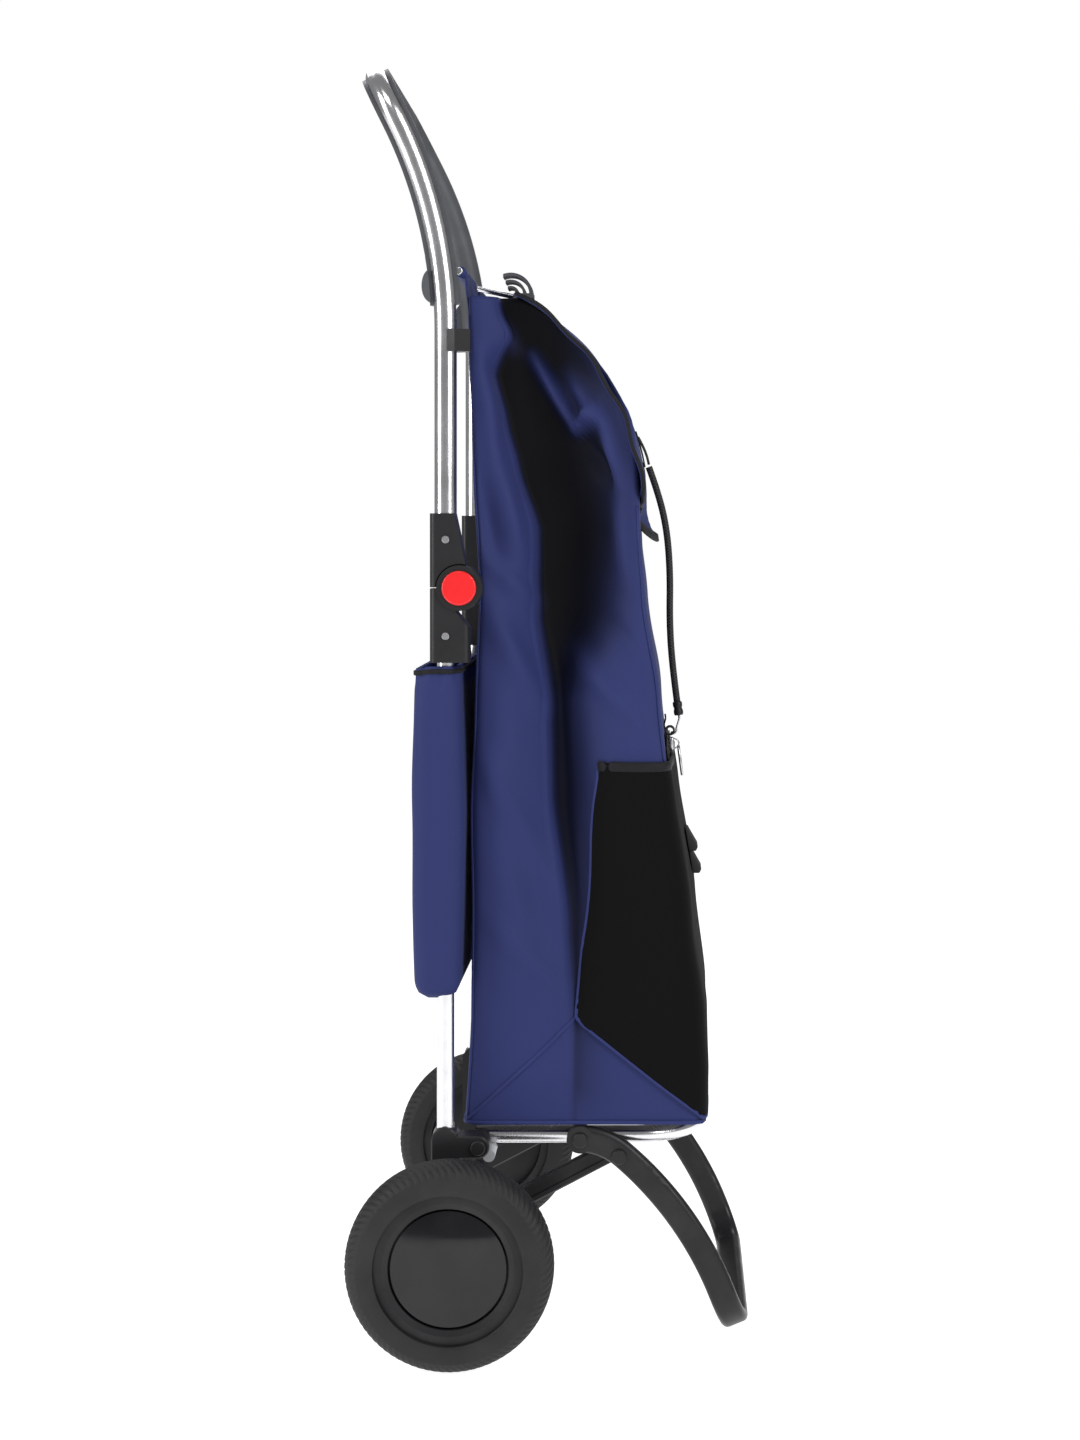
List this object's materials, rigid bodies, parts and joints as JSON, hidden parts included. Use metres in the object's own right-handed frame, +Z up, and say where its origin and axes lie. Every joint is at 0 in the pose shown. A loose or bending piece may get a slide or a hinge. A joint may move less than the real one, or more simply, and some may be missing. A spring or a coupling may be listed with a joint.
{
  "type": "folding shopping trolley",
  "caption": "Folding two-wheeled shopping trolley: tube frame with a fold-down arched handle, hinged platform and stand, and a gusseted fabric bag with a lid.",
  "frame": {"origin": "on the floor, at the middle of the outline", "axes": "+X forward, +Y to the trolley's left, +Z up"},
  "size_m": [0.3205, 0.407, 1.0429],
  "materials": {
    "tyre_rubber": "matte rubber",
    "rim_plastic": "satin moulded",
    "hubcap_plastic": "polished",
    "steel": "polished plate",
    "zinc": "plated",
    "black_plastic": "fine moulded grain",
    "grey_plastic": "satin",
    "red_plastic": "satin",
    "stand_plastic": "satin",
    "foot_rubber": "matte",
    "stop_plastic": "satin",
    "blue_fabric": "woven",
    "black_mesh": "open knit",
    "binding": "woven tape",
    "board": "sheet",
    "strap_black": "braided"
  },
  "bodies": {
    "frame": {"lower_tube_right": "steel", "lower_tube_left": "steel", "axle": "zinc", "axle_clips": "zinc", "axle_spacers": "black_plastic", "axle_bracket_right": "black_plastic", "axle_bracket_left": "black_plastic", "lower_hinge_right": "black_plastic", "lower_hinge_left": "black_plastic", "hinge_pins": "zinc", "button_springs": "zinc", "lower_screws": "zinc", "platform_rivets": "black_plastic", "platform_stops": "stop_plastic", "bag_shell": "blue_fabric", "bag_rod": "steel", "rod_hem": "blue_fabric", "mesh_pocket": "black_mesh", "rear_pocket": "blue_fabric", "pocket_elastic": "binding", "zip_tape": "binding", "strap_anchor": "black_plastic", "wedge_tabs": "black_plastic"},
    "handle": {"handle_tube": "steel", "handle_grip": "grey_plastic", "grip_knobs": "grey_plastic", "upper_hinge_right": "black_plastic", "upper_hinge_left": "black_plastic", "upper_screws": "zinc", "bag_clips": "black_plastic"},
    "button_right": {"button_right": "red_plastic"},
    "button_left": {"button_left": "red_plastic"},
    "wheel_right": {"tyre_right": "tyre_rubber", "rim_right": "rim_plastic", "hubcap_right": "hubcap_plastic", "wheel_bush_right": "rim_plastic"},
    "wheel_left": {"tyre_left": "tyre_rubber", "rim_left": "rim_plastic", "hubcap_left": "hubcap_plastic", "wheel_bush_left": "rim_plastic"},
    "platform": {"platform_tube": "steel", "platform_cross_wire": "steel", "base_board": "board", "stand_rivets": "black_plastic"},
    "stand": {"stand_loop": "stand_plastic", "foot_pads": "foot_rubber", "link_rivets": "black_plastic"},
    "struts": {"strut_right": "black_plastic", "strut_left": "black_plastic"},
    "lid": {"lid_flap": "blue_fabric", "lid_binding": "binding", "lid_tab": "black_plastic", "strap": "strap_black", "strap_hook": "black_plastic"},
    "zip_slider": {"zip_slider": "zinc", "zip_ring": "zinc"},
    "cart_hook": {"hook_legs": "steel", "hook_comb": "grey_plastic"}
  },
  "joints": [
    {"name": "handle_fold", "type": "hinge", "parent": "frame", "child": "handle", "pos_m": [-0.07309, 0, 0.6145], "axis": [0, 1, 0], "range_deg": [0, 155]},
    {"name": "button_right_press", "type": "slide", "parent": "frame", "child": "button_right", "axis": [0, 1, 0], "range_m": [0, 0.0028], "stiffness_N_per_m": 400, "springref_m": -0.002},
    {"name": "button_left_press", "type": "slide", "parent": "frame", "child": "button_left", "axis": [0, -1, 0], "range_m": [0, 0.0028], "stiffness_N_per_m": 400, "springref_m": -0.002},
    {"name": "wheel_right_spin", "type": "hinge", "parent": "frame", "child": "wheel_right", "pos_m": [-0.07759, 0, 0.0825], "axis": [0, 1, 0], "continuous": true},
    {"name": "wheel_left_spin", "type": "hinge", "parent": "frame", "child": "wheel_left", "pos_m": [-0.07759, 0, 0.0825], "axis": [0, 1, 0], "continuous": true},
    {"name": "platform_fold", "type": "hinge", "parent": "frame", "child": "platform", "pos_m": [-0.05809, 0, 0.165], "axis": [0, -1, 0], "range_deg": [0, 86], "deforming": ["bag_shell", "mesh_pocket", "rear_pocket", "rod_hem"]},
    {"name": "stand_fold", "type": "hinge", "parent": "platform", "child": "stand", "pos_m": [0.02291, 0, 0.165], "axis": [0, 1, 0], "range_deg": [0, 105.38]},
    {"name": "strut_fold", "type": "hinge", "parent": "frame", "child": "struts", "pos_m": [-0.07759, 0, 0.0825], "axis": [0, -1, 0], "range_deg": [0, 43.07]},
    {"name": "lid_open", "type": "hinge", "parent": "frame", "child": "lid", "pos_m": [-0.02959, 0, 0.856], "axis": [0, -1, 0], "range_deg": [0, 62]},
    {"name": "zip_slide", "type": "slide", "parent": "frame", "child": "zip_slider", "axis": [0, 1, 0], "range_m": [-0.1, 0.1]},
    {"name": "cart_hook_swing", "type": "hinge", "parent": "frame", "child": "cart_hook", "pos_m": [-0.07559, 0, 0.872], "axis": [0, -1, 0], "range_deg": [0, 90]}
  ],
  "couplings": [
    {"joint": "stand_fold", "follows": "platform_fold", "ratio": 1.2196},
    {"joint": "strut_fold", "follows": "platform_fold", "ratio": 0.49503}
  ]
}
